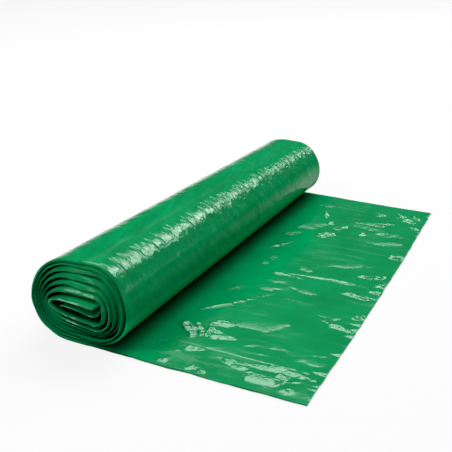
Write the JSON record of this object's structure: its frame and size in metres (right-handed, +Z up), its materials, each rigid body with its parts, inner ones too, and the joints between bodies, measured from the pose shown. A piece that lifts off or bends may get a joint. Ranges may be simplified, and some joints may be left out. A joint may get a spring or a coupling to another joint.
{
  "type": "bin bag roll",
  "caption": "Coreless roll of green polythene bin bags, wound flat on itself, with its loose end laid out on the floor.",
  "frame": {"origin": "on the floor, under the middle of the roll", "axes": "+Y along the roll's axis, +X towards the loose end, +Z up"},
  "size_m": [0.1931, 0.3527, 0.0584],
  "materials": {
    "film": "glossy polythene film, creased, slightly translucent"
  },
  "bodies": {
    "root": {"bag_roll": "film"}
  },
  "joints": []
}
